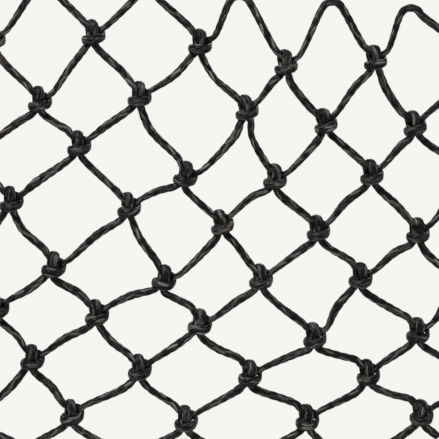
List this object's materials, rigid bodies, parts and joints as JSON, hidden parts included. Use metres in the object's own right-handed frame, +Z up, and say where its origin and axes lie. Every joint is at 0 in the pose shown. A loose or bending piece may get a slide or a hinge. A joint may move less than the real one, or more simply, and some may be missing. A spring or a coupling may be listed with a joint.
{
  "type": "cargo climbing net",
  "caption": "Hanging panel of knotted diamond netting in black braided cord, with free loops along its top edge to hang it by.",
  "frame": {"origin": "underside of the cord at the crown of the middle hanging loop, where it rests on its rail or hook", "axes": "+X along the rows of knots to the right as seen from the front, +Z up, front faces -Y"},
  "size_m": [0.8409, 0.0325, 0.6905],
  "materials": {
    "cord": "black multifilament braid with a low sheen"
  },
  "bodies": {
    "row_1": {"row_1_wraps": "cord", "row_1_bights": "cord"},
    "row_2": {"row_2_wraps": "cord", "row_2_bights": "cord"},
    "row_3": {"row_3_wraps": "cord", "row_3_bights": "cord"},
    "row_4": {"row_4_wraps": "cord", "row_4_bights": "cord"},
    "row_5": {"row_5_wraps": "cord", "row_5_bights": "cord"},
    "row_6": {"row_6_wraps": "cord", "row_6_bights": "cord"},
    "row_7": {"row_7_wraps": "cord", "row_7_bights": "cord"},
    "row_8": {"row_8_wraps": "cord", "row_8_bights": "cord"}
  },
  "joints": [
    {"name": "fold_1", "type": "hinge", "parent": "row_1", "child": "row_2", "pos_m": [0, 0, -0.1105], "axis": [0.9982, 0, -0.0599], "range_deg": [-30, 30]},
    {"name": "fold_2", "type": "hinge", "parent": "row_2", "child": "row_3", "pos_m": [0, 0, -0.1885], "axis": [0.9982, 0, -0.0599], "range_deg": [-30, 30]},
    {"name": "fold_3", "type": "hinge", "parent": "row_3", "child": "row_4", "pos_m": [0, 0, -0.2735], "axis": [0.9982, 0, -0.0599], "range_deg": [-30, 30]},
    {"name": "fold_4", "type": "hinge", "parent": "row_4", "child": "row_5", "pos_m": [0, 0, -0.3395], "axis": [0.9982, 0, -0.0599], "range_deg": [-30, 30]},
    {"name": "fold_5", "type": "hinge", "parent": "row_5", "child": "row_6", "pos_m": [0, 0, -0.4225], "axis": [0.9982, 0, -0.0599], "range_deg": [-30, 30]},
    {"name": "fold_6", "type": "hinge", "parent": "row_6", "child": "row_7", "pos_m": [0, 0, -0.4885], "axis": [0.9982, 0, -0.0599], "range_deg": [-30, 30]},
    {"name": "fold_7", "type": "hinge", "parent": "row_7", "child": "row_8", "pos_m": [0, 0, -0.5465], "axis": [0.9998, 0, -0.02], "range_deg": [-30, 30]}
  ]
}
